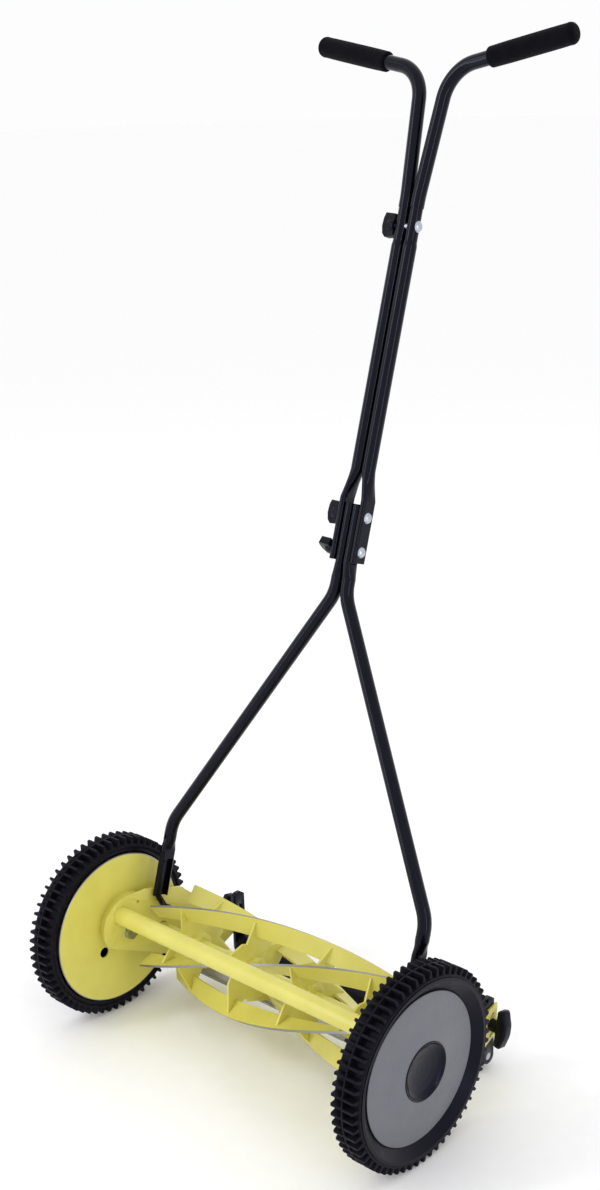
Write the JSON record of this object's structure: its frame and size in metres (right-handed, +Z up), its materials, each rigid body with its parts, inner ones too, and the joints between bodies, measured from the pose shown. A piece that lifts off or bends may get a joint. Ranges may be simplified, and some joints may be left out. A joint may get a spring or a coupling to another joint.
{
  "type": "push reel mower",
  "caption": "Hand-pushed reel mower with lugged wheels, helical reel, bed knife, rear roller and a sectional tubular handle with foam grips.",
  "frame": {"origin": "on the floor, under the middle of the mower's box", "axes": "+Z up, +X along the axle towards the right wheel, -Y forwards"},
  "size_m": [0.5806, 0.5335, 1.259],
  "materials": {
    "yellow_paint": "gloss enamel",
    "black_powder_coat": "satin powder coat",
    "tread_rubber": "moulded",
    "black_moulding": "moulded satin",
    "grey_moulding": "fine grained",
    "foam_grip": "closed-cell foam",
    "knob_plastic": "moulded",
    "roller_plastic": "moulded",
    "zinc_plate": "zinc plated",
    "blade_steel": "ground",
    "gear_steel": "sintered, oiled",
    "bronze": "sintered bronze"
  },
  "bodies": {
    "chassis": {"left_side_plate": "yellow_paint", "right_side_plate": "yellow_paint", "left_gear_cover": "yellow_paint", "right_gear_cover": "yellow_paint", "bearing_housings": "yellow_paint", "reel_bushings": "bronze", "tie_tube": "yellow_paint", "tie_tube_bolts": "zinc_plate", "axle_bolts": "zinc_plate", "axle_hardware": "zinc_plate", "bed_knife": "blade_steel", "cutter_bar": "yellow_paint", "bed_knife_screws": "zinc_plate", "cutter_bar_bolts": "zinc_plate", "clamp_bolts": "zinc_plate", "handle_pivot_bolts": "zinc_plate", "handle_pivot_hardware": "zinc_plate"},
    "right_wheel_assembly": {"right_tyre": "tread_rubber", "right_wheel": "black_moulding", "right_wheel_disc": "grey_moulding", "right_hub_cap": "black_moulding", "right_wheel_bushing": "bronze"},
    "left_wheel_assembly": {"left_tyre": "tread_rubber", "left_wheel": "black_moulding", "left_wheel_disc": "grey_moulding", "left_hub_cap": "black_moulding", "left_wheel_bushing": "bronze"},
    "reel": {"reel_shaft": "yellow_paint", "reel_spider_1": "yellow_paint", "reel_spider_2": "yellow_paint", "reel_spider_3": "yellow_paint", "reel_spider_4": "yellow_paint", "reel_blade_1": "yellow_paint", "reel_blade_2": "yellow_paint", "reel_blade_3": "yellow_paint", "reel_blade_4": "yellow_paint", "reel_blade_5": "yellow_paint", "pawls": "blade_steel", "reel_shaft_clips": "zinc_plate"},
    "right_drive_pinion": {"right_pinion": "gear_steel"},
    "left_drive_pinion": {"left_pinion": "gear_steel"},
    "height_carriage": {"left_roller_arm": "black_powder_coat", "right_roller_arm": "black_powder_coat", "roller_axle": "zinc_plate"},
    "roller": {"rear_roller": "roller_plastic"},
    "left_clamp_knob": {"left_height_knob": "knob_plastic"},
    "right_clamp_knob": {"right_height_knob": "knob_plastic"},
    "handle": {"left_lower_tube": "black_powder_coat", "right_lower_tube": "black_powder_coat", "left_middle_tube": "black_powder_coat", "right_middle_tube": "black_powder_coat", "left_upper_tube": "black_powder_coat", "right_upper_tube": "black_powder_coat", "left_grip": "foam_grip", "right_grip": "foam_grip", "foot_straps": "black_powder_coat", "joint_bolts": "zinc_plate"},
    "upper_wing_knob": {"upper_joint_knob": "knob_plastic"},
    "middle_wing_knob": {"middle_joint_knob": "knob_plastic"},
    "lower_wing_knob": {"lower_joint_knob": "knob_plastic"}
  },
  "joints": [
    {"name": "right_wheel_spin", "type": "hinge", "parent": "chassis", "child": "right_wheel_assembly", "pos_m": [0.2695, -0.13977, 0.127], "axis": [1, 0, 0], "continuous": true},
    {"name": "left_wheel_spin", "type": "hinge", "parent": "chassis", "child": "left_wheel_assembly", "pos_m": [-0.2695, -0.13977, 0.127], "axis": [1, 0, 0], "continuous": true},
    {"name": "reel_spin", "type": "hinge", "parent": "chassis", "child": "reel", "pos_m": [0, -0.08042, 0.10908], "axis": [1, 0, 0], "continuous": true},
    {"name": "right_pinion_spin", "type": "hinge", "parent": "chassis", "child": "right_drive_pinion", "pos_m": [0.2645, -0.08042, 0.10908], "axis": [1, 0, 0], "continuous": true},
    {"name": "left_pinion_spin", "type": "hinge", "parent": "chassis", "child": "left_drive_pinion", "pos_m": [-0.2645, -0.08042, 0.10908], "axis": [1, 0, 0], "continuous": true},
    {"name": "height_slide", "type": "slide", "parent": "chassis", "child": "height_carriage", "axis": [0, 0, 1], "range_m": [-0.014, 0.014]},
    {"name": "roller_spin", "type": "hinge", "parent": "height_carriage", "child": "roller", "pos_m": [0, 0.06473, 0.0195], "axis": [1, 0, 0], "continuous": true},
    {"name": "right_height_knob_turn", "type": "hinge", "parent": "chassis", "child": "right_clamp_knob", "pos_m": [0.245, 0.06473, 0.069], "axis": [1, 0, 0], "range_deg": [-540, 0]},
    {"name": "left_height_knob_turn", "type": "hinge", "parent": "chassis", "child": "left_clamp_knob", "pos_m": [-0.245, 0.06473, 0.069], "axis": [-1, 0, 0], "range_deg": [-540, 0]},
    {"name": "handle_pivot", "type": "hinge", "parent": "chassis", "child": "handle", "pos_m": [0, -0.07777, 0.137], "axis": [-1, 0, 0], "range_deg": [-40, 50]},
    {"name": "upper_knob_turn", "type": "hinge", "parent": "handle", "child": "upper_wing_knob", "pos_m": [-0.0258, 0.18856, 1.03799], "axis": [-1, 0, 0], "range_deg": [-540, 0]},
    {"name": "middle_knob_turn", "type": "hinge", "parent": "handle", "child": "middle_wing_knob", "pos_m": [-0.0303, 0.08175, 0.69923], "axis": [-1, 0, 0], "range_deg": [-540, 0]},
    {"name": "lower_knob_turn", "type": "hinge", "parent": "handle", "child": "lower_wing_knob", "pos_m": [-0.0303, 0.06882, 0.65822], "axis": [-1, 0, 0], "range_deg": [-540, 0]}
  ],
  "couplings": [
    {"joint": "reel_spin", "follows": "right_wheel_spin", "ratio": 5.4286},
    {"joint": "right_pinion_spin", "follows": "right_wheel_spin", "ratio": 5.4286},
    {"joint": "left_pinion_spin", "follows": "left_wheel_spin", "ratio": 5.4286}
  ]
}
